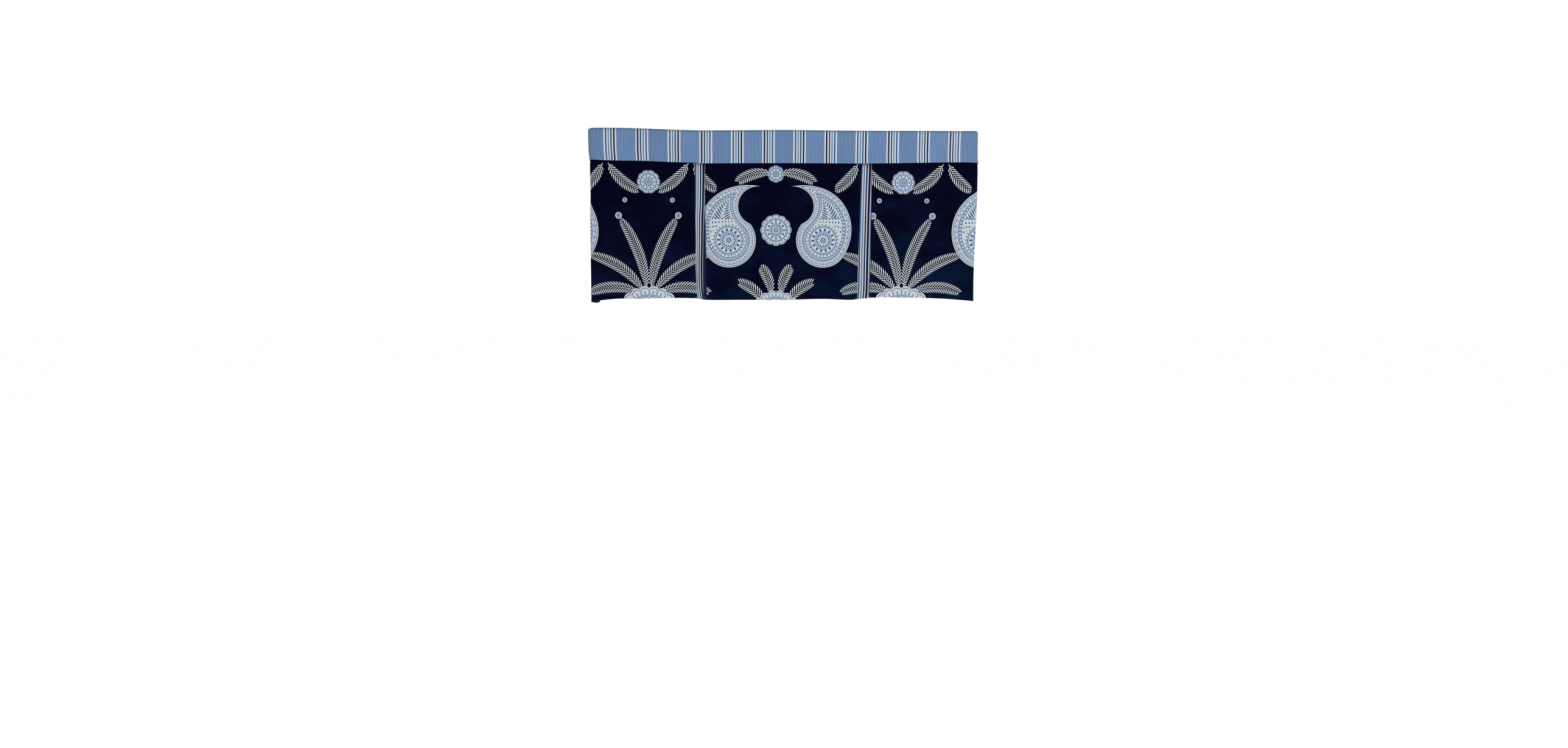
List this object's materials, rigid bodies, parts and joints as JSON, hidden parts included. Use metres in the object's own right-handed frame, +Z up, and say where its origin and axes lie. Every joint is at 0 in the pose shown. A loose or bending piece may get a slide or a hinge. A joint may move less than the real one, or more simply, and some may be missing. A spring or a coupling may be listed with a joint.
{
  "type": "window valance",
  "caption": "Flat window valance with a striped heading band, printed skirt panels, inverted pleats with striped inserts, and returns at the ends.",
  "frame": {"origin": "middle of the front's top edge, at the outer face of the cloth, where the valance is held up", "axes": "+X along the front to the viewer's right, +Y from the front towards the wall, +Z up; the front faces -Y"},
  "size_m": [1.1553, 0.0889, 0.5095],
  "materials": {
    "printed_navy": "plain-woven cotton and linen, navy ground printed in cream and blue, matt",
    "ticking_stripe": "woven ticking, fine blue pin lines with groups of cream, blue and navy stripes, matt"
  },
  "bodies": {
    "root": {"band": "ticking_stripe", "panel_left": "printed_navy", "panel_centre": "printed_navy", "panel_right": "printed_navy", "insert_left": "ticking_stripe", "insert_right": "ticking_stripe"}
  },
  "joints": []
}
